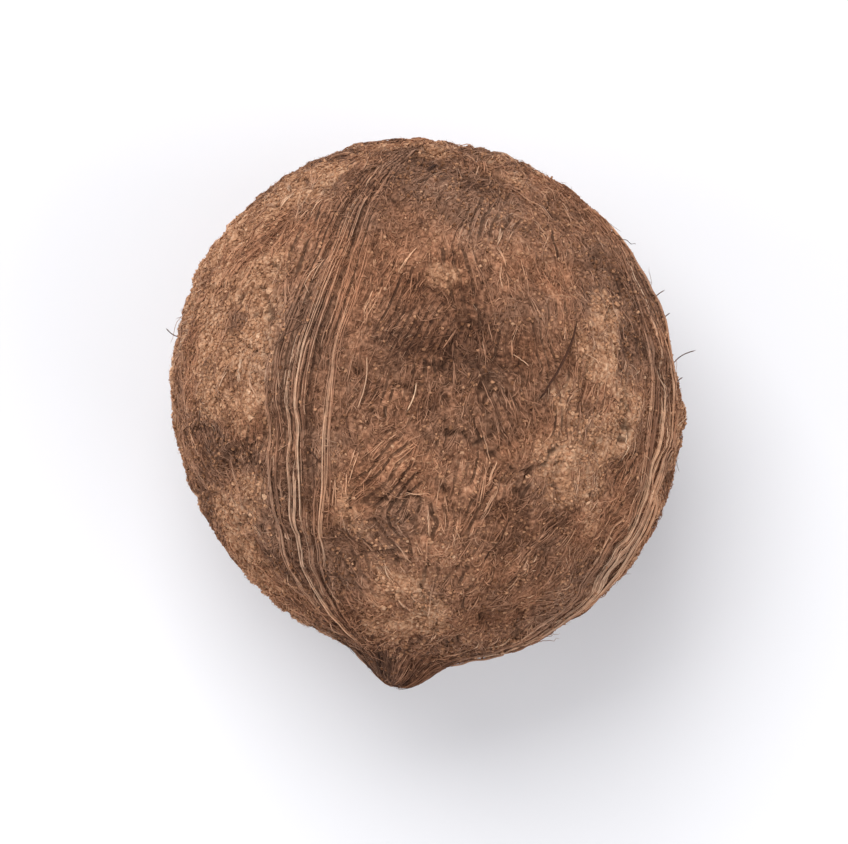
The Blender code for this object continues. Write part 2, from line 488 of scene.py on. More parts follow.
def furrows(ways):
    """1 in the wider furrows, which wind between lumps of felt and cork."""
    places = ways * BODY_RADIUS
    cork = cork_zone(ways)
    winding = np.abs(cloud(places, FURROW_SPACING, 45) + 0.25 * cloud(places, 0.0019, 48))
    cracked = 0.9 * np.abs(cloud(places, CRACK_SPACING, 49) + 0.2 * cloud(places, 0.0013, 50))
    line = winding * (1.0 - cork) + cracked * cork
    broken = step_up(cloud(places, 0.008, 46) + 0.5 * cork, -0.1, 0.3)
    furrow = (1.0 - step_up(line, 0.0, FURROW_WIDTH)) * broken * (1.0 - eye_zone(ways))
    furrow = furrow * (1.0 - tip_zone(ways)) * (1.0 - seam_zone(ways))
    return np.maximum(furrow, 0.75 * seam_gap(ways))


def combing(ways):
    """The heading of the fibre at each direction, in radians from the way to the tip."""
    patch = patches_at(ways)[0]
    along = meridian(ways)
    across = np.cross(ways, along)
    rises = []
    for way in (along, across):
        ahead = ways + PROBE_STEP * way
        behind = ways - PROBE_STEP * way
        rises.append(phase_in(ahead, patch) - phase_in(behind, patch))
    heading = np.arctan2(-rises[0], rises[1])
    heading = (heading + math.pi / 2.0) % math.pi - math.pi / 2.0
    return heading * (1.0 - tip_zone(ways)) * (1.0 - 0.9 * seam_zone(ways))


def lumps(ways):
    """The uneven thickness of the felt, in metres over the skin."""
    places = ways * BODY_RADIUS
    rise = cloud(places, 0.0024, 43) + 0.6 * cloud(places, 0.0012, 44)
    domed = step_up(np.abs(cloud(places, CRACK_SPACING, 49)), 0.0, 0.4) * cork_zone(ways)
    rough = (1.0 - eye_zone(ways)) * (1.0 - 0.6 * tip_zone(ways)) * (1.0 - 0.5 * seam_zone(ways))
    return (LUMP_RISE * rise + CORK_RISE * (domed - 0.4 * cork_zone(ways))) * rough


def felt_top(ways, groove):
    """How far the matted surface lies over the skin, for a given depth in a groove."""
    return lumps(ways) - GROOVE_DEPTH * groove - FURROW_DEPTH * furrows(ways)


# %% [markdown]
# The ball under the fibres is one mesh. A cube is cut into a grid and every corner is moved
# out to the skin, which leaves no pinched poles. It is the felt's matted ground, pith and
# broken fibre pressed together. It carries the masks and the phase for its material.

# %% The ball under the felt
BALL_CELLS = 124
GROUND_DEPTH = 0.00022
GRAIN_HEIGHT = 0.00014
EYE_SINK = 0.00055


def square_to_ball(corners):
    """Moves the points of a cube to evenly spread directions."""
    spread = np.tan(corners * math.pi / 4.0)
    return spread / np.linalg.norm(spread, axis=-1, keepdims=True)


def store(mesh, name, values):
    """Keeps one number for each point of a mesh under a name that materials can read."""
    attribute = mesh.attributes.new(name, "FLOAT", "POINT")
    attribute.data.foreach_set("value", np.ascontiguousarray(values, dtype=np.float32))


def six_cell_map(mesh, corners):
    """A UV map with one cell for each side of the cube that the ball was made from."""
    layer = mesh.uv_layers.new(name="OFBake")
    loops = np.zeros(len(mesh.loops), dtype=int)
    mesh.loops.foreach_get("vertex_index", loops)
    at = corners[loops].reshape(len(mesh.polygons), 4, 3)
    facing = at.mean(axis=1)
    side = np.abs(facing).argmax(axis=1)
    positive = np.take_along_axis(facing, side[:, None], axis=1)[:, 0] > 0.0
    flat = np.stack([
        np.take_along_axis(at, ((side + turn) % 3)[:, None, None], axis=2)[..., 0]
        for turn in (1, 2)
    ], axis=2)
    cell = side * 2 + positive
    origin = np.stack([cell % 3 / 3.0, cell // 3 / 2.0], axis=1)
    inner = (flat + 1.0) / 2.0 * 0.98 + 0.01
    places = origin[:, None, :] + inner * (1.0 / 3.0, 0.5)
    layer.uv.foreach_set("vector", places.reshape(-1).astype(np.float32))


def make_ball():
    """The ball under the felt, centred in the CAD box."""
    work = bmesh.new()
    bmesh.ops.create_cube(work, size=2.0)
    bmesh.ops.subdivide_edges(work, edges=work.edges[:], cuts=BALL_CELLS - 1, use_grid_fill=True)
    mesh = bpy.data.meshes.new("coir_ball")
    work.to_mesh(mesh)
    work.free()
    corners = np.zeros(len(mesh.vertices) * 3)
    mesh.vertices.foreach_get("co", corners)
    corners = corners.reshape(-1, 3)
    ways = square_to_ball(corners)
    patch, border = patches_at(ways)
    places = ways * BODY_RADIUS
    grain = cloud(places, 0.0011, 31) + 0.7 * cloud(places, 0.0023, 32)
    bare = 1.0 - eye_zone(ways)
    height = felt_top(ways, 0.0) + (GRAIN_HEIGHT * grain - GROUND_DEPTH) * bare
    height = height - EYE_SINK * eye_zone(ways)
    places = ways * (skin(ways) + height)[:, None] + MIDDLE
    places[:, 2] = np.maximum(places[:, 2], FLOOR_LEVEL)
    mesh.vertices.foreach_set("co", places.reshape(-1))
    six_cell_map(mesh, corners)
    phase = phase_in(ways, patch)
    store(mesh, "phase", phase)
    store(mesh, "grooved", groove_strength(ways, patch, phase, border))
    store(mesh, "furrow", furrows(ways))
    store(mesh, "tone", tone(ways))
    store(mesh, "cork", cork_zone(ways))
    store(mesh, "eye", eye_zone(ways))
    store(mesh, "eye_rim_shade", eye_rim_shade(ways))
    store(mesh, "tip", tip_zone(ways))
    mesh.shade_smooth()
    mesh.update()
    ball = bpy.data.objects.new("coir_ball", mesh)
    bpy.context.scene.collection.objects.link(ball)
    return ball


def middle_of_the_nut():
    """Where the table's middle point lies in the CAD box."""
    rows = np.linspace(0.0, math.pi, TABLE_ROWS)[:, None]
    columns = np.linspace(0.0, 2.0 * math.pi, TABLE_COLUMNS, endpoint=False)[None, :]
    across = skin_table * np.sin(rows) * np.sin(columns)
    along = skin_table * -np.cos(rows)
    up = skin_table * np.sin(rows) * np.cos(columns)
    return np.array((
        (cad_low.x + cad_high.x) / 2.0 - (across.max() + across.min()) / 2.0,
        (cad_low.y + cad_high.y) / 2.0 - (along.max() + along.min()) / 2.0,
        cad_high.z - up.max(),
    ))


MIDDLE = middle_of_the_nut()
ball = make_ball()
print("ball has", len(ball.data.polygons), "faces, middle at", MIDDLE.round(5))

# %% [markdown]
# Every fibre is a curve that crawls over the ball. From its start it takes a few equal
# steps along the skin and turns a little at each one. A triangle swept along the curve
# gives it a body, its ends are drawn out to points that sink into the felt, and three
# sides are enough for something a fifth of a millimetre thick. All fibres of a layer
# become one mesh, in which each keeps its own shade and its own small cell of the UV map.

# %% Tools for fibres
SIDES = 3
POINT_MERGE = 1e-8


def crawl(starts, headings, lengths, bends):
    """Unit directions along each fibre, as an array of fibres by rings by three."""
    at = starts
    facing = turned_way(at, headings)
    rings = bends.shape[1]
    step = (lengths / (rings - 1) / BODY_RADIUS)[:, None]
    trail = [at]
    for ring in range(rings - 1):
        bend = bends[:, ring][:, None]
        facing = facing * np.cos(bend) + np.cross(at, facing) * np.sin(bend)
        ahead = at * np.cos(step) + facing * np.sin(step)
        facing = facing * np.cos(step) - at * np.sin(step)
        at = ahead
        trail.append(at)
    return np.stack(trail, axis=1)


def over_the_felt(trails, lifts):
    """Places in the scene for directions on the skin, each lifted off the matted surface."""
    top = skin(trails) + felt_top(trails, grooves(trails))
    places = trails * (top + lifts)[..., None] + MIDDLE
    places[..., 2] = np.maximum(places[..., 2], FLOOR_LEVEL + 0.0002)
    return places


def clear_of_eyes(trails):
    """Which fibres keep off the bare shell of the eyes."""
    return eye_zone(trails).max(axis=1) < 0.6


def three_sided_profile():
    """The small triangle that is swept along each fibre."""
    outline = bpy.data.curves.new("fibre_section", "CURVE")
    spline = outline.splines.new("POLY")
    spline.points.add(SIDES - 1)
    for side, point in enumerate(spline.points):
        turn = -2.0 * math.pi * side / SIDES
        point.co = (math.cos(turn), math.sin(turn), 0.0, 1.0)
    spline.use_cyclic_u = True
    section = bpy.data.objects.new("fibre_section", outline)
    bpy.context.scene.collection.objects.link(section)
    return section


def rings_and_sides(rings):
    """The ring and the side of each point of one fibre, whose ends are single points."""
    ring = np.concatenate(([0], np.repeat(np.arange(1, rings - 1), SIDES), [rings - 1]))
    side = np.concatenate(([np.nan], np.tile(np.arange(SIDES), rings - 2), [np.nan]))
    return ring, side


def fibre_map(mesh, count, rings):
    """A UV map that gives each fibre a cell of its own, with its length up the cell."""
    columns = math.ceil(math.sqrt(count))
    rows = math.ceil(count / columns)
    vertex = np.zeros(len(mesh.loops), dtype=int)
    mesh.loops.foreach_get("vertex_index", vertex)
    total = np.zeros(len(mesh.polygons), dtype=int)
    mesh.polygons.foreach_get("loop_total", total)
    first = np.concatenate(([0], np.cumsum(total)[:-1]))
    face = np.repeat(np.arange(len(total)), total)
    ring_of, side_of = rings_and_sides(rings)
    fibre, place = np.divmod(vertex, len(ring_of))
    ring = ring_of[place]
    side = side_of[place]
    lowest = np.fmin.reduceat(side, first)[face]
    highest = np.fmax.reduceat(side, first)[face]
    wraps = highest - lowest == SIDES - 1
    middle = np.where(wraps, SIDES - 0.5, (lowest + highest) / 2.0)
    side = np.where(np.isnan(side), middle, np.where(wraps & (side == 0), SIDES, side))
    u = (fibre % columns + 0.1 + 0.8 * side / SIDES) / columns
    v = (fibre // columns + 0.1 + 0.8 * ring / (rings - 1)) / rows
    layer = mesh.uv_layers.new(name="OFBake")
    layer.uv.foreach_set("vector", np.stack([u, v], axis=1).reshape(-1).astype(np.float32))


def spin_fibres(name, places, radii, shades):
    """One mesh of fibres that follow the given places, drawn out to a point at both ends."""
    count, rings = places.shape[:2]
    curve = bpy.data.curves.new(name, "CURVE")
    curve.dimensions = "3D"
    curve.bevel_mode = "OBJECT"
    curve.bevel_object = section
    points = np.concatenate([places, np.ones((count, rings, 1))], axis=2).astype(np.float32)
    radii = radii.astype(np.float32)
    radii[:, 0] = 0.0
    radii[:, -1] = 0.0
    for fibre in range(count):
        spline = curve.splines.new("POLY")
        spline.points.add(rings - 1)
        spline.points.foreach_set("co", points[fibre].reshape(-1))
        spline.points.foreach_set("radius", radii[fibre])
    drawn = bpy.data.objects.new(name + "_path", curve)
    bpy.context.scene.collection.objects.link(drawn)
    seen = drawn.evaluated_get(bpy.context.evaluated_depsgraph_get())
    mesh = bpy.data.meshes.new_from_object(seen)
    bpy.data.objects.remove(drawn)
    bpy.data.curves.remove(curve)
    work = bmesh.new()
    work.from_mesh(mesh)
    bmesh.ops.remove_doubles(work, verts=work.verts[:], dist=POINT_MERGE)
    work.to_mesh(mesh)
    work.free()
    while mesh.uv_layers:
        mesh.uv_layers.remove(mesh.uv_layers[0])
    fibre_map(mesh, count, rings)
    ring = rings_and_sides(rings)[0]
    store(mesh, "shade", np.repeat(np.clip(shades, 0.0, 1.0), len(ring)))
    mesh.shade_smooth()
    piece = bpy.data.objects.new(name, mesh)
    bpy.context.scene.collection.objects.link(piece)
    print(name, count, "fibres,", len(mesh.polygons), "faces")
    return piece


section = three_sided_profile()

# %% [markdown]
# The felt is short broken fibre, matted into the ground. Most of it lies along the ridges,
# a part lies across them, and neighbours share a shade, because coir sticks together in
# locks. So a few thousand lock centres are scattered over the ball, and each fibre takes a
# turn and a shade from the nearest one, with a little of its own. Fibre is thin over cork,
# and seldom lies in a groove.

# %% The short felt
LOCKS = 3600
FELT_LAYERS = 4
FIBRES_IN_LAYER = 10500
FELT_RINGS = 5
CROSSING_SHARE = 0.22

lock_random = np.random.default_rng(5)
lock_ways = scattered(LOCKS, lock_random)
lock_turns = lock_random.normal(0.0, 0.25, LOCKS)
lock_lifts = lock_random.uniform(0.0, 1.0, LOCKS)
lock_shades = lock_random.normal(0.0, 0.09, LOCKS)
lock_tree = kdtree.KDTree(LOCKS)
for number, way in enumerate(lock_ways):
    lock_tree.insert(way, number)
lock_tree.balance()


def felt_layer(layer):
    """One layer of short felted fibres. Later layers lie higher and are paler."""
    random = np.random.default_rng(100 + layer)
    ways = scattered(int(FIBRES_IN_LAYER * 2.6), random)
    deep = grooves(ways)
    bare = np.maximum(eye_zone(ways), 0.8 * cork_zone(ways))
    bare = np.maximum(bare, 0.92 * np.maximum(deep, furrows(ways)))
    ways = ways[random.uniform(size=len(ways)) > bare][:FIBRES_IN_LAYER]
    lock = np.array([lock_tree.find(way)[1] for way in ways])
    count = len(ways)
    height = layer / (FELT_LAYERS - 1)
    lengths = random.uniform(0.0009, 0.0034, count)
    tight = 1.0 - 0.6 * tip_zone(ways)
    headings = combing(ways) + tight * (lock_turns[lock] + random.normal(0.0, 0.25, count))
    crossing = random.uniform(size=count) < CROSSING_SHARE * tight
    headings = np.where(crossing, random.uniform(0.0, 2.0 * math.pi, count), headings)
    headings += math.pi * (random.uniform(size=count) < 0.5)
    bends = random.normal(0.0, 0.18, count)[:, None] + random.normal(0.0, 0.12, (count, FELT_RINGS))
    trails = crawl(ways, headings, lengths, bends)
    crossed = 0.9 * grooves(trails[:, 1:-1]).max(axis=1)
    keep = clear_of_eyes(trails) & (random.uniform(size=count) > crossed)
    radius = random.uniform(0.00004, 0.00009, count)
    lifted = -0.00010 + 0.00016 * height + 0.00018 * lock_lifts[lock] * tight
    profile = np.sin(np.linspace(0.0, math.pi, FELT_RINGS)) ** 0.5
    lifts = lifted[:, None] * profile - (1.0 - profile) * 0.0003
    lifts += random.normal(0.0, 0.00004, (count, FELT_RINGS))
    radii = radius[:, None] * np.array((0.0, 0.9, 1.0, 0.9, 0.0))
    middle = trails[:, FELT_RINGS // 2]
    # Painted shade: a fibre whose middle lies in a groove or furrow is made up to 55 percent darker.
    sunk = np.maximum(grooves(middle), furrows(middle))
    shades = 0.40 + 0.08 * height + lock_shades[lock] + random.normal(0.0, 0.06, count)
    shades = (shades + tone(middle)) * (1.0 - 0.55 * sunk)
    places = over_the_felt(trails, lifts)[keep]
    return spin_fibres(f"felt_{layer + 1}", places, radii[keep], shades[keep])


felt = [felt_layer(layer) for layer in range(FELT_LAYERS)]

# %% [markdown]
# Thicker fibres lie half sunk along the ridges, in twos and threes, a few millimetres long.
# They are what the eye follows: each catches the light beside the dark groove that it runs
# along.

# %% Ridge fibres
TOWS = 1700
FIBRES_IN_TOW = 3
TOW_RINGS = 7
AWAY_FROM_BRINK = 0.75


def ridge_fibres():
    """Small bundles of thicker fibre along the ridges, as one piece."""
    random = np.random.default_rng(151)
    lead = scattered(TOWS * 9, random)
    groove, brink = grooves_and_brinks(lead)
    bare = np.maximum(np.maximum(groove, furrows(lead)), 0.85 * cork_zone(lead))
    bare = np.maximum(bare, np.maximum(eye_zone(lead), 0.7 * seam_zone(lead)))
    bare = np.maximum(bare, AWAY_FROM_BRINK * (1.0 - brink))
    lead = lead[random.uniform(size=len(lead)) > bare][:TOWS]
    facing = combing(lead) + random.normal(0.0, 0.08, len(lead))
    lengths = random.uniform(0.0022, 0.0070, len(lead))
    shades = 0.50 + tone(lead) + random.normal(0.0, 0.12, len(lead))
    lifted = random.uniform(-0.00004, 0.00022, len(lead))
    bends = random.normal(0.0, 0.06, (len(lead), TOW_RINGS))
    owner = np.repeat(np.arange(len(lead)), FIBRES_IN_TOW)
    count = len(owner)
    forward = turned_way(lead, facing)[owner]
    beside = np.cross(lead[owner], forward)
    aside = random.normal(0.0, 0.00012, (count, 1))
    ahead = random.normal(0.0, 0.0007, (count, 1))
    ways = lead[owner] + (beside * aside + forward * ahead) / BODY_RADIUS
    ways /= np.linalg.norm(ways, axis=1, keepdims=True)
    headings = facing[owner] + random.normal(0.0, 0.05, count)
    bends = bends[owner] + random.normal(0.0, 0.02, (count, TOW_RINGS))
    trails = crawl(ways, headings, lengths[owner] * random.uniform(0.7, 1.1, count), bends)
    crossed = 0.7 * grooves(trails[:, 1:-1]).max(axis=1)
    keep = clear_of_eyes(trails) & (random.uniform(size=count) > crossed)
    profile = np.sin(np.linspace(0.0, math.pi, TOW_RINGS)) ** 0.4
    lifts = (lifted[owner] + random.uniform(-0.00006, 0.00008, count))[:, None] * profile
    lifts -= (1.0 - profile) * 0.0003
    radii = random.uniform(0.00006, 0.00013, count)[:, None] * profile
    shades = shades[owner] + random.normal(0.0, 0.07, count)
    places = over_the_felt(trails, lifts)[keep]
    return spin_fibres("ridge_fibres", places, radii[keep], shades[keep])


bundles = [ridge_fibres()]

# %% [markdown]
# The seams are where the husk's three lobes met. Three ridges run along each, and every
# ridge carries tows of long strands, thicker and paler than the felt and nearly parallel.
# The tows lie side by side in lanes, with a groove between one lane and the next and a
# wider gap between the ridges. A strand is drawn along the seam's own line, at its own
# small distance from it, and sways a little with its tow.

# %% Strands along the seams
RIDGES = (-1, 0, 1)
LANES = (-1.5, -0.5, 0.5, 1.5)
TOWS_IN_LANE = 3
TOWS_SHOWING = ((0.40, 1.0, 0.60), (0.70, 1.0, 0.70), (0.70, 1.0, 0.70))
STRANDS_IN_TOW = 6
SEAM_RINGS = 24
TOW_HALF_WIDTH = math.radians(0.38)


def seam_strands(number):
    """The long strands of one seam, as one piece."""
    random = np.random.default_rng(200 + number)
    lanes = [STRAND_SPACING * ridge + SEAM_GROOVE_SPACING * lane for ridge in RIDGES for lane in LANES]
    lane_shade = np.repeat(random.normal(0.0, 0.07, len(lanes)), TOWS_IN_LANE)
    lane = np.repeat(lanes, TOWS_IN_LANE)
    showing = np.repeat(TOWS_SHOWING[number], len(LANES) * TOWS_IN_LANE)
    shown = random.uniform(size=len(lane)) < showing
    lane = lane[shown]
    lane_shade = lane_shade[shown]
    tow_count = len(lane)
    tow_offset = lane + random.normal(0.0, math.radians(0.22), tow_count)
    tow_start = random.uniform(0.16, 1.8, tow_count)
    tow_length = random.uniform(0.25, 1.05, tow_count)
    outer = np.abs(lane) / STRAND_SPACING
    tow_shade = 0.68 - 0.12 * outer + lane_shade + random.normal(0.0, 0.08, tow_count)
    tow_lift = random.uniform(-0.00014, 0.00022, tow_count)
    tow_sway = random.normal(0.0, math.radians(0.4), tow_count)
    tow_phase = random.uniform(0.0, 2.0 * math.pi, tow_count)
    owner = np.repeat(np.arange(tow_count), STRANDS_IN_TOW)
    count = len(owner)
    part = np.linspace(0.0, 1.0, SEAM_RINGS)
    start = tow_start[owner] + random.normal(0.0, 0.07, count)
    length = np.minimum(tow_length[owner] * random.uniform(0.7, 1.15, count), 2.85 - start)
    from_tip = start[:, None] + length[:, None] * part
    offset = tow_offset[owner] + random.uniform(-TOW_HALF_WIDTH, TOW_HALF_WIDTH, count)
    sway = tow_sway[owner][:, None] * np.sin(3.0 * from_tip + tow_phase[owner][:, None])
    own = random.normal(0.0, math.radians(0.14), count)[:, None]
    sway = sway + own * np.sin(7.0 * from_tip + random.uniform(0.0, 2.0 * math.pi, (count, 1)))
    turn = np.interp(from_tip, SEAM_ANGLES, seam_lines[number]) + offset[:, None] + sway
    out = np.sin(from_tip)
    trails = np.stack([out * np.sin(turn), -np.cos(from_tip), out * np.cos(turn)], axis=-1)
    profile = np.clip(np.sin(math.pi * part) * 3.5, 0.0, 1.0)
    lifts = (tow_lift[owner] + random.uniform(-0.00012, 0.00012, count))[:, None] * profile
    lifts = lifts - (1.0 - profile) * 0.0004
    thick = np.where(random.uniform(size=count) < 0.15, 1.6, 1.0)
    radii = (random.uniform(0.00007, 0.00013, count) * thick)[:, None]
    radii = radii * np.clip(profile, 0.35, 1.0)
    shades = np.clip(tow_shade[owner] + random.normal(0.0, 0.10, count), 0.2, 0.86)
    return spin_fibres(f"seam_strands_{number + 1}", over_the_felt(trails, lifts), radii, shades)


strands = [seam_strands(number) for number in range(len(SEAM_LONGITUDES))]

# %% [markdown]
# At the tip all the strands run together. A ring of them lies over the blunt point, from
# its foot to its crown, combed tight and darker than the rest.

# %% Strands over the tip
TIP_STRANDS = 620
TIP_RINGS = 9


def tip_strands():
    """The strands that meet at the tip, as one piece."""
    random = np.random.default_rng(220)
    part = np.linspace(0.0, 1.0, TIP_RINGS)
    start = random.uniform(0.012, 0.12, TIP_STRANDS)[:, None]
    from_tip = start + random.uniform(0.08, 0.32, TIP_STRANDS)[:, None] * part
    turn = random.uniform(0.0, 2.0 * math.pi, TIP_STRANDS)[:, None]
    turn = turn + random.normal(0.0, 0.12, TIP_STRANDS)[:, None] * np.sin(3.0 * part)
    out = np.sin(from_tip)
    trails = np.stack([out * np.sin(turn), -np.cos(from_tip), out * np.cos(turn)], axis=-1)
    profile = np.sin(math.pi * part) ** 0.5
    lifts = random.uniform(-0.00008, 0.00022, TIP_STRANDS)[:, None] * profile
    lifts = lifts - (1.0 - profile) * 0.0003
    radii = random.uniform(0.00006, 0.00013, TIP_STRANDS)[:, None] * profile
    shades = 0.18 + random.normal(0.0, 0.09, TIP_STRANDS)
    return spin_fibres("tip_strands", over_the_felt(trails, lifts), radii, shades)


strands.append(tip_strands())

# %% [markdown]
# Round each eye the felt is swept into a ring, where the husk's fibres passed to either
# side of it. Short fibres lie along arcs just outside the bare hollow, and others hang over
# its edge, so that the eye isn't a clean circle.

# %% Rims of the eyes
RIM_FIBRES = 130
RIM_RINGS = 8
RIM_REACH = (1.08, 1.75)
EDGE_FIBRES = 70


def eye_rims():
    """The fibres swept round the three eyes, as one piece."""
    random = np.random.default_rng(240)
    rims = []
    for centre in EYE_CENTRES:
        beside = np.cross(centre, TIP_WAY)
        beside /= np.linalg.norm(beside)
        above = np.cross(centre, beside)
        reach = random.uniform(*RIM_REACH, (RIM_FIBRES, 1)) * EYE_RADIUS / BODY_RADIUS
        turn = random.uniform(0.0, 2.0 * math.pi, (RIM_FIBRES, 1))
        part = np.linspace(0.0, 1.0, RIM_RINGS)
        turn = turn + random.uniform(0.4, 1.2, (RIM_FIBRES, 1)) * part
        reach = reach + random.normal(0.0, 0.012, (RIM_FIBRES, 1)) * part**2
        outer = random.uniform(1.15, 1.5, (EDGE_FIBRES, 1))
        inner = random.uniform(0.62, 1.0, (EDGE_FIBRES, 1))
        hanging = (outer + (inner - outer) * part) * EYE_RADIUS / BODY_RADIUS
        hanging_turn = random.uniform(0.0, 2.0 * math.pi, (EDGE_FIBRES, 1))
        hanging_turn = hanging_turn + random.normal(0.0, 0.45, (EDGE_FIBRES, 1)) * part
        reach = np.concatenate([reach, hanging])
        turn = np.concatenate([turn, hanging_turn])
        flat = np.cos(turn)[..., None] * beside + np.sin(turn)[..., None] * above
        ways = centre + reach[..., None] * flat
        rims.append(ways / np.linalg.norm(ways, axis=-1, keepdims=True))
    trails = np.concatenate(rims)
    count = len(trails)
    profile = np.sin(math.pi * part) ** 0.5
    lifts = random.uniform(-0.00006, 0.00024, count)[:, None] * profile
    lifts = lifts - (1.0 - profile) * 0.0003
    radii = random.uniform(0.00005, 0.00012, count)[:, None] * profile
    shades = 0.42 + random.normal(0.0, 0.11, count)
    return spin_fibres("eye_rims", over_the_felt(trails, lifts), radii, shades)


strands.append(eye_rims())

# %% [markdown]
# Some hairs have worked loose. A few are long and wiry, and lie across the felt or stand
# off the outline by a few millimetres. The ones that catch the eye are laid where the
# photograph shows them. Thousands are short and very fine, and give the outline a soft,
# dry fuzz.

# %% Loose hairs and fuzz
LOOSE_HAIRS = 90
HAIR_RINGS = 10
FUZZ_HAIRS = 9000
FUZZ_RINGS = 4
NOTED_HAIRS = (
    (0.0213, 0.0164, 0.0167, 0.0031, 0.0007, 0.00023, 0.0),
    (-0.0019, 0.0038, -0.0030, -0.0013, 0.0003, 0.00013, 0.95),
    (-0.0095, 0.0070, -0.0105, -0.0020, 0.0002, 0.00010, 0.80),
    (0.0120, 0.0100, 0.0148, 0.0082, 0.0004, 0.00009, 0.85),
    (0.0225, 0.0112, 0.0250, 0.0096, 0.0004, 0.00009, 0.80),
    (-0.0175, -0.0080, -0.0135, -0.0110, 0.0001, 0.00013, 0.05),
)
OUTLINE_HAIRS = (
    (32.0, 55.0, 0.0032),
    (26.0, 62.0, 0.0034),
    (16.6, 42.0, 0.0052),
    (11.7, 58.0, 0.0026),
    (171.0, 157.0, 0.0030),
)
OUTLINE_HAIR_RADIUS = 0.00010


def risen_hairs(name, seed, count, rings, length_range, rise_range, radius_range, shade, spread):
    """Hairs that start in the felt and lift off it towards their far end."""
    random = np.random.default_rng(seed)
    ways = scattered(count, random)
    lengths = random.uniform(*length_range, count)
    headings = random.uniform(0.0, 2.0 * math.pi, count)
    bends = random.normal(0.0, 0.12, count)[:, None] + random.normal(0.0, 0.06, (count, rings))
    trails = crawl(ways, headings, lengths, bends)
    keep = clear_of_eyes(trails)
    rise = random.uniform(*rise_range, count)
    part = np.linspace(0.0, 1.0, rings)
    lifts = -0.0003 + 0.0004 * step_up(part, 0.0, 0.15) + rise[:, None] * part**1.5
    radii = random.uniform(*radius_range, count)[:, None] * (1.0 - 0.5 * part)
    shades = random.normal(shade, spread, count)
    places = over_the_felt(trails, lifts)[keep]
    return spin_fibres(name, places, radii[keep], shades[keep])


def outline_hairs():
    """Places along the hairs that stand off the outline, in the turns that OUTLINE_HAIRS gives."""
    rows = np.array(OUTLINE_HAIRS)
    root = np.radians(rows[:, 0])
    toward = np.radians(rows[:, 1])
    ways = np.stack([np.cos(root), np.sin(root), np.full(len(rows), 0.10)], axis=1)
    ways /= np.linalg.norm(ways, axis=1, keepdims=True)
    start = ways * (skin(ways) - 0.0004)[:, None] + MIDDLE
    part = np.linspace(0.0, 1.0, HAIR_RINGS)[None, :, None]
    ahead = np.stack([np.cos(toward), np.sin(toward), np.full(len(rows), 0.15)], axis=1)
    aside = np.stack([-np.sin(toward), np.cos(toward), np.zeros(len(rows))], axis=1)
    length = rows[:, 2][:, None, None]
    bow = 0.12 * length * np.sin(math.pi * part)
    return start[:, None, :] + ahead[:, None, :] * length * part + aside[:, None, :] * bow


def noted_hairs():
    """The few hairs that lie where the photograph shows them, as one piece."""
    rows = np.array(NOTED_HAIRS)
    part = np.linspace(0.0, 1.0, HAIR_RINGS)
    across = rows[:, 0:1] * (1.0 - part) + rows[:, 2:3] * part
    along = rows[:, 1:2] * (1.0 - part) + rows[:, 3:4] * part
    bow = np.sin(math.pi * part) * 0.0004
    across = across + bow
    up = np.sqrt(BODY_RADIUS**2 - across**2 - along**2)
    trails = np.stack([across, along, up], axis=-1) / BODY_RADIUS
    arch = np.sin(math.pi * part) ** 0.6
    lifts = rows[:, 4:5] * arch + 0.0002 * arch
    radii = rows[:, 5:6] * (0.5 + 0.5 * arch)
    standing = outline_hairs()
    places = np.concatenate([over_the_felt(trails, lifts), standing])
    thin = np.full((len(standing), HAIR_RINGS), OUTLINE_HAIR_RADIUS)
    shades = np.concatenate([rows[:, 6], np.full(len(standing), 0.1)])
    return spin_fibres("noted_hairs", places, np.concatenate([radii, thin]), shades)


hairs = risen_hairs(
    "loose_hairs", 300, LOOSE_HAIRS, HAIR_RINGS,
    (0.004, 0.011), (0.0001, 0.0022), (0.00005, 0.00009), 0.2, 0.25,
)
fuzz = risen_hairs(
    "fuzz", 310, FUZZ_HAIRS, FUZZ_RINGS,
    (0.0006, 0.0020), (0.00005, 0.0006), (0.000022, 0.00004), 0.55, 0.15,
)
noted = noted_hairs()

# %% [markdown]
# Dry pith clings to the fibres as crumbs and, where it is thick, as flat flakes of cork.
# Both are small lumps, half sunk in the ground. Each starts as a ball of a few faces that
# is squashed, turned and knocked out of shape. An array makes the copies.

# %% Crumbs and flakes of pith
CRUMBS_IN_PIECE = 9500
FLAKES = 6500


def many_balls(name, subdivisions, count):
    """A mesh of equal round balls, all in one place, and the points of each."""
    work = bmesh.new()
    bmesh.ops.create_icosphere(work, subdivisions=subdivisions, radius=1.0)
    mesh = bpy.data.meshes.new(name)
    work.to_mesh(mesh)
    work.free()
    seed_ball = bpy.data.objects.new(name + "_seed", mesh)
    bpy.context.scene.collection.objects.link(seed_ball)
    copies = seed_ball.modifiers.new("copies", "ARRAY")
    copies.count = count
    copies.use_relative_offset = False
    seen = seed_ball.evaluated_get(bpy.context.evaluated_depsgraph_get())
    many = bpy.data.meshes.new_from_object(seen)
    bpy.data.objects.remove(seed_ball)
    bpy.data.meshes.remove(mesh)
    many.name = name
    corners = np.zeros(len(many.vertices) * 3)
    many.vertices.foreach_get("co", corners)
    return many, corners.reshape(count, -1, 3)


def crumb_map(mesh, count):
    """A UV map with a cell for each crumb and a small triangle in it for each face."""
    columns = math.ceil(math.sqrt(count))
    faces_each = len(mesh.polygons) // count
    side = math.ceil(math.sqrt(faces_each))
    crumb, place = np.divmod(np.arange(len(mesh.polygons)), faces_each)
    corner = np.array(((0.1, 0.1), (0.9, 0.1), (0.5, 0.9)))
    inner = np.stack([place % side, place // side], axis=1)[:, None, :] + corner
    outer = np.stack([crumb % columns, crumb // columns], axis=1)[:, None, :]
    places = (outer + inner / side) / columns
    while mesh.uv_layers:
        mesh.uv_layers.remove(mesh.uv_layers[0])
    layer = mesh.uv_layers.new(name="OFBake")
    layer.uv.foreach_set("vector", places.reshape(-1).astype(np.float32))


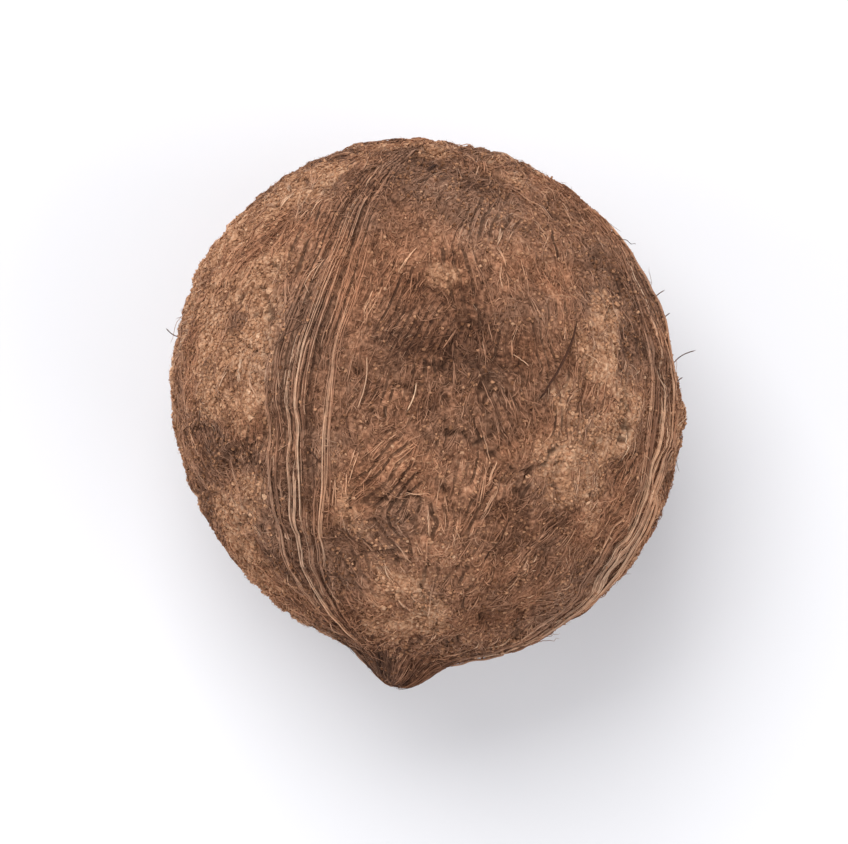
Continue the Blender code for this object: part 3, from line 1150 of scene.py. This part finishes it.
def pith(name, seed, ways, subdivisions, sizes, lifts, shade):
    """Lumps of pith at the given directions, as one piece."""
    random = np.random.default_rng(seed)
    count = len(ways)
    mesh, corners = many_balls(name, subdivisions, count)
    knocks = random.uniform(0.55, 1.25, (count, corners.shape[1], 1))
    corners = corners * knocks * sizes[:, None, :]
    first = turned_way(ways, random.uniform(0.0, 2.0 * math.pi, count))
    frames = np.stack([first, np.cross(ways, first), ways], axis=1)
    corners = np.einsum("nvi,nij->nvj", corners, frames)
    top = skin(ways) + felt_top(ways, grooves(ways)) + lifts
    corners = corners + (ways * top[:, None] + MIDDLE)[:, None, :]
    corners[..., 2] = np.maximum(corners[..., 2], FLOOR_LEVEL + 0.0001)
    mesh.vertices.foreach_set("co", corners.reshape(-1))
    shades = np.clip(shade + tone(ways) + random.normal(0.0, 0.15, count), 0.0, 1.0)
    store(mesh, "shade", np.repeat(shades, corners.shape[1]))
    crumb_map(mesh, count)
    mesh.shade_flat()
    mesh.update()
    piece = bpy.data.objects.new(name, mesh)
    bpy.context.scene.collection.objects.link(piece)
    print(name, count, "lumps,", len(mesh.polygons), "faces")
    return piece


def crumb_piece(number):
    """Small crumbs of pith, thick on cork and sparse elsewhere."""
    random = np.random.default_rng(400 + number)
    ways = scattered(CRUMBS_IN_PIECE * 4, random)
    likely = (0.52 + 0.43 * cork_zone(ways)) * (1.0 - eye_zone(ways))
    likely = likely * (1.0 - 0.7 * seam_zone(ways)) * (1.0 - 0.8 * tip_zone(ways))
    likely = likely * (1.0 - 0.6 * dark_zone(ways))
    likely = likely * (1.0 - 0.9 * np.maximum(grooves(ways), furrows(ways)))
    ways = ways[random.uniform(size=len(ways)) < likely][:CRUMBS_IN_PIECE]
    count = len(ways)
    sizes = random.uniform(0.00010, 0.00033, (count, 1)) * random.uniform(0.6, 1.35, (count, 3))
    lifts = random.uniform(-0.00014, 0.00008, count)
    return pith(f"pith_crumbs_{number}", 410 + number, ways, 1, sizes, lifts, 0.36)


def flake_piece():
    """Flat flakes of cork."""
    random = np.random.default_rng(430)
    ways = scattered(FLAKES * 8, random)
    likely = 0.9 * cork_zone(ways) * (1.0 - eye_zone(ways)) * (1.0 - furrows(ways))
    ways = ways[random.uniform(size=len(ways)) < likely][:FLAKES]
    count = len(ways)
    sizes = random.uniform(0.00020, 0.00056, (count, 1)) * random.uniform(0.5, 1.25, (count, 3))
    sizes[:, 2] *= 0.6
    lifts = random.uniform(-0.00024, 0.00002, count)
    return pith("cork_flakes", 431, ways, 1, sizes, lifts, 0.42)


pith_pieces = [crumb_piece(1), crumb_piece(2), crumb_piece(3), flake_piece()]

# %% [markdown]
# Coir's colour runs from dark umber in the gaps to a dry golden tan on the strands. One
# node group turns a fibre's own shade into that range and lets it drift over the nut, so
# that the ball and every fibre agree about which side is duller and which is more orange.

# %% The coir colour group
def new_group(name, sockets_in, sockets_out):
    """A shader group with its named sockets, and its input and output nodes."""
    group = bpy.data.node_groups.new(name, "ShaderNodeTree")
    for title, kind, value in sockets_in:
        socket = group.interface.new_socket(title, in_out="INPUT", socket_type=kind)
        socket.default_value = value
    for title, kind in sockets_out:
        group.interface.new_socket(title, in_out="OUTPUT", socket_type=kind)
    return group, group.nodes.new("NodeGroupInput"), group.nodes.new("NodeGroupOutput")


def noise_node(nodes, links, where, scale, detail):
    """A noise texture that reads the given coordinates."""
    texture = nodes.new("ShaderNodeTexNoise")
    texture.inputs["Scale"].default_value = scale
    texture.inputs["Detail"].default_value = detail
    links.new(where, texture.inputs["Vector"])
    return texture.outputs["Fac"]


def ramp_node(nodes, links, value, stops):
    """A colour ramp with the given stops."""
    ramp = nodes.new("ShaderNodeValToRGB")
    elements = ramp.color_ramp.elements
    elements.remove(elements[0])
    elements[0].position = stops[0][0]
    elements[0].color = (*stops[0][1], 1.0)
    for position, colour in stops[1:]:
        elements.new(position).color = (*colour, 1.0)
    links.new(value, ramp.inputs["Fac"])
    return ramp.outputs["Color"]


def plug(links, socket, value):
    """Links a socket, or sets it where the value is plain."""
    if isinstance(value, bpy.types.NodeSocket):
        links.new(value, socket)
    elif isinstance(value, tuple):
        socket.default_value = (*value, 1.0)
    else:
        socket.default_value = value


def mix_node(nodes, links, blend, factor, first, second):
    """A colour mix, whose inputs are sockets or plain values."""
    mix = nodes.new("ShaderNodeMix")
    mix.data_type = "RGBA"
    mix.blend_type = blend
    colours = [socket for socket in mix.inputs if socket.type == "RGBA"]
    plug(links, mix.inputs["Factor"], factor)
    plug(links, colours[0], first)
    plug(links, colours[1], second)
    return next(socket for socket in mix.outputs if socket.type == "RGBA")


def math_node(nodes, links, operation, *values):
    """One sum, whose inputs are sockets or plain numbers."""
    total = nodes.new("ShaderNodeMath")
    total.operation = operation
    for socket, value in zip(total.inputs, values):
        plug(links, socket, value)
    return total.outputs["Value"]


def attribute_node(nodes, name):
    """Reads what is stored on the mesh under a name."""
    reader = nodes.new("ShaderNodeAttribute")
    reader.attribute_name = name
    return reader.outputs["Fac"]


COIR_STOPS = (
    (0.0, (0.062, 0.027, 0.016)),
    (0.25, (0.205, 0.100, 0.059)),
    (0.55, (0.440, 0.240, 0.150)),
    (0.8, (0.640, 0.410, 0.275)),
    (1.0, (0.780, 0.560, 0.390)),
)
WARM_TINT = (1.12, 0.99, 0.88)
DULL_TINT = (0.88, 0.87, 0.87)


def coir_colour_group():
    """Turns a shade from 0 to 1 into the colour of coir, drifting over the nut."""
    group, entry, leave = new_group(
        "coir colour",
        [("Shade", "NodeSocketFloat", 0.5), ("Mottle", "NodeSocketFloat", 0.5)],
        [("Colour", "NodeSocketColor")],
    )
    nodes, links = group.nodes, group.links
    where = nodes.new("ShaderNodeTexCoord").outputs["Object"]
    base = ramp_node(nodes, links, entry.outputs["Shade"], COIR_STOPS)
    broad = noise_node(nodes, links, where, 70.0, 3.0)
    tint = ramp_node(nodes, links, broad, ((0.38, DULL_TINT), (0.62, WARM_TINT)))
    warm = mix_node(nodes, links, "MULTIPLY", 1.0, base, tint)
    fine = noise_node(nodes, links, where, 900.0, 2.0)
    dull = ramp_node(nodes, links, fine, ((0.3, (0.70, 0.70, 0.70)), (0.7, (1.2, 1.2, 1.2))))
    mottled = mix_node(nodes, links, "MULTIPLY", entry.outputs["Mottle"], warm, dull)
    links.new(mottled, leave.inputs["Colour"])
    return group


coir_colour = coir_colour_group()

# %% [markdown]
# Three materials use that group or its colours. The fibres read their own shade. The ground
# under them is crumbly, with painted shade in lines where the phase passes a whole number,
# orange pith in the corky patches, painted shade in the furrows and seam gaps, and smooth
# dark shell in the eyes with painted shade just inside their rims. The crumbs and flakes
# are plain pith.

# %% Materials
def start_material(name, roughness, specular):
    """A material with its Principled shader, dull and without metal."""
    material = bpy.data.materials.new(name)
    material.use_nodes = True
    shader = material.node_tree.nodes["Principled BSDF"]
    shader.inputs["Roughness"].default_value = roughness
    shader.inputs["Specular IOR Level"].default_value = specular
    return material, material.node_tree.nodes, material.node_tree.links, shader


def coir_node(nodes, links, shade, mottle):
    """The coir colour group, placed with its own values."""
    tint = nodes.new("ShaderNodeGroup")
    tint.node_tree = coir_colour
    tint.inputs["Mottle"].default_value = mottle
    links.new(shade, tint.inputs["Shade"])
    return tint.outputs["Colour"]


def fibre_material():
    """Coir fibre, coloured by the shade stored on each fibre."""
    material, nodes, links, shader = start_material("coir_fibre", 0.8, 0.2)
    colour = coir_node(nodes, links, attribute_node(nodes, "shade"), 0.8)
    links.new(colour, shader.inputs["Base Color"])
    return material


PITH_STOPS = (
    (0.1, (0.180, 0.080, 0.040)),
    (0.5, (0.465, 0.240, 0.132)),
    (0.95, (0.660, 0.410, 0.258)),
)
# The near-black of painted shade in the grooves, furrows and seam gaps and just inside the eyes' rims.
PAINTED_SHADE_COLOUR = (0.050, 0.023, 0.013)
SHELL_STOPS = (
    (0.3, (0.050, 0.024, 0.015)),
    (0.55, (0.085, 0.042, 0.027)),
    (0.75, (0.170, 0.092, 0.060)),
)
TIP_TINT = (0.46, 0.44, 0.46)


def groove_lines(nodes, links):
    """Lines where the stored phase passes a whole number: painted groove shade, and dents for the bump."""
    away = math_node(nodes, links, "PINGPONG", attribute_node(nodes, "phase"), 0.5)
    narrow = nodes.new("ShaderNodeMapRange")
    narrow.interpolation_type = "SMOOTHSTEP"
    narrow.inputs["From Min"].default_value = GROOVE_INNER
    narrow.inputs["From Max"].default_value = GROOVE_OUTER
    narrow.inputs["To Min"].default_value = 1.0
    narrow.inputs["To Max"].default_value = 0.0
    links.new(away, narrow.inputs["Value"])
    return math_node(nodes, links, "MULTIPLY", narrow.outputs["Result"], attribute_node(nodes, "grooved"))


def ground_material():
    """Matted pith and broken fibre under the felt."""
    material, nodes, links, shader = start_material("coir_ground", 0.9, 0.15)
    where = nodes.new("ShaderNodeTexCoord").outputs["Object"]
    grain = noise_node(nodes, links, where, 1500.0, 4.0)
    shade = math_node(nodes, links, "MULTIPLY_ADD", grain, 1.2, -0.22)
    shade = math_node(nodes, links, "ADD", shade, attribute_node(nodes, "tone"))
    coir = coir_node(nodes, links, shade, 0.7)
    pith_shade = math_node(nodes, links, "MULTIPLY_ADD", grain, 2.0, -0.5)
    pith_shade = math_node(nodes, links, "ADD", pith_shade, attribute_node(nodes, "tone"))
    pith_colour = ramp_node(nodes, links, pith_shade, PITH_STOPS)
    cork = math_node(nodes, links, "MULTIPLY", attribute_node(nodes, "cork"), 0.85)
    corky = mix_node(nodes, links, "MIX", cork, coir, pith_colour)
    lines = groove_lines(nodes, links)
    # Painted shade: along the grooves, furrows and seam gaps the ground is mixed 90 percent towards near-black.
    dark = math_node(nodes, links, "MAXIMUM", lines, attribute_node(nodes, "furrow"))
    cracked = mix_node(nodes, links, "MIX", math_node(nodes, links, "MULTIPLY", dark, 0.9), corky, PAINTED_SHADE_COLOUR)
    tipped = mix_node(nodes, links, "MULTIPLY", attribute_node(nodes, "tip"), cracked, TIP_TINT)
    shell = ramp_node(nodes, links, noise_node(nodes, links, where, 700.0, 5.0), SHELL_STOPS)
    # Painted shade: a ring just inside each eye's rim is mixed 85 percent towards near-black.
    edge = math_node(nodes, links, "MULTIPLY", attribute_node(nodes, "eye_rim_shade"), 0.85)
    shell = mix_node(nodes, links, "MIX", edge, shell, PAINTED_SHADE_COLOUR)
    eyed = mix_node(nodes, links, "MIX", attribute_node(nodes, "eye"), tipped, shell)
    links.new(eyed, shader.inputs["Base Color"])
    bump = nodes.new("ShaderNodeBump")
    bump.inputs["Distance"].default_value = 0.0005
    bump.inputs["Strength"].default_value = 0.9
    links.new(math_node(nodes, links, "SUBTRACT", grain, lines), bump.inputs["Height"])
    links.new(bump.outputs["Normal"], shader.inputs["Normal"])
    return material


def pith_material():
    """Dry pith, coloured by the shade stored on each crumb."""
    material, nodes, links, shader = start_material("pith", 0.92, 0.12)
    colour = ramp_node(nodes, links, attribute_node(nodes, "shade"), PITH_STOPS)
    where = nodes.new("ShaderNodeTexCoord").outputs["Object"]
    grain = noise_node(nodes, links, where, 2500.0, 3.0)
    dull = ramp_node(nodes, links, grain, ((0.3, (0.6, 0.6, 0.6)), (0.7, (1.25, 1.25, 1.25))))
    links.new(mix_node(nodes, links, "MULTIPLY", 1.0, colour, dull), shader.inputs["Base Color"])
    bump = nodes.new("ShaderNodeBump")
    bump.inputs["Distance"].default_value = 0.0003
    bump.inputs["Strength"].default_value = 0.8
    links.new(grain, bump.inputs["Height"])
    links.new(bump.outputs["Normal"], shader.inputs["Normal"])
    return material


coir_fibre = fibre_material()
dry_pith = pith_material()
ball.data.materials.append(ground_material())
for piece in pith_pieces:
    piece.data.materials.append(dry_pith)
fibre_pieces = [*felt, *bundles, *strands, hairs, fuzz, noted]
for piece in fibre_pieces:
    piece.data.materials.append(coir_fibre)

# %% [markdown]
# All pieces ride on the one body. The ball stands in for the plain solid, which is hidden.

# %% Tie the pieces to the part
bpy.data.objects.remove(section)
for piece in [ball, *pith_pieces, *fibre_pieces]:
    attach(piece, "root")
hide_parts(NUT_NODE)

# %% [markdown]
# A plain pale floor and soft light. The camera looks straight down with a long lens, turned
# a few degrees, so that the tip points down and a little to the left.

# %% Floor, light and camera
CAMERA_HEIGHT = 0.75
CAMERA_ROLL = math.radians(7.3)
FILL_SHARE = 0.60


def make_floor():
    """A wide pale sheet under the nut."""
    work = bmesh.new()
    bmesh.ops.create_grid(work, x_segments=1, y_segments=1, size=3.0)
    mesh = bpy.data.meshes.new("floor")
    work.to_mesh(mesh)
    work.free()
    floor = bpy.data.objects.new("floor", mesh)
    floor.location.z = FLOOR_LEVEL - 0.0001
    bpy.context.scene.collection.objects.link(floor)
    material, nodes, links, shader = start_material("pale_floor", 0.8, 0.2)
    shader.inputs["Base Color"].default_value = (0.80, 0.80, 0.82, 1.0)
    mesh.materials.append(material)
    return floor


def soft_light(name, place, target, size, power):
    """A square soft light that faces a point."""
    lamp = bpy.data.lights.new(name, "AREA")
    lamp.shape = "SQUARE"
    lamp.size = size
    lamp.energy = power
    holder = bpy.data.objects.new(name, lamp)
    holder.location = place
    holder.rotation_mode = "QUATERNION"
    holder.rotation_quaternion = (Vector(target) - Vector(place)).to_track_quat("-Z", "Y")
    bpy.context.scene.collection.objects.link(holder)


make_floor()
nut_middle = Vector(MIDDLE)
soft_light("key_light", (-0.25, 0.45, 0.85), nut_middle, 0.6, 7.2)
soft_light("fill_light", (0.8, -0.2, 0.7), nut_middle, 0.9, 4.2)
soft_light("side_light", (-0.9, -0.3, 0.6), nut_middle, 0.9, 3.4)

world = bpy.data.worlds.new("studio")
world.use_nodes = True
world.node_tree.nodes["Background"].inputs["Color"].default_value = (0.95, 0.96, 1.0, 1.0)
world.node_tree.nodes["Background"].inputs["Strength"].default_value = 0.55
bpy.context.scene.world = world
bpy.context.scene.view_settings.view_transform = "Standard"

camera = bpy.data.cameras.new("camera")
camera.sensor_width = 36.0
nut_width = cad_high.x - cad_low.x
camera.lens = camera.sensor_width * (CAMERA_HEIGHT - nut_middle.z) * FILL_SHARE / nut_width
viewer = bpy.data.objects.new("camera", camera)
viewer.location = (0.0, -0.001, CAMERA_HEIGHT)
viewer.rotation_euler = (0.0, 0.0, CAMERA_ROLL)
bpy.context.scene.collection.objects.link(viewer)
bpy.context.scene.camera = viewer
print("lens", round(camera.lens, 1), "mm")
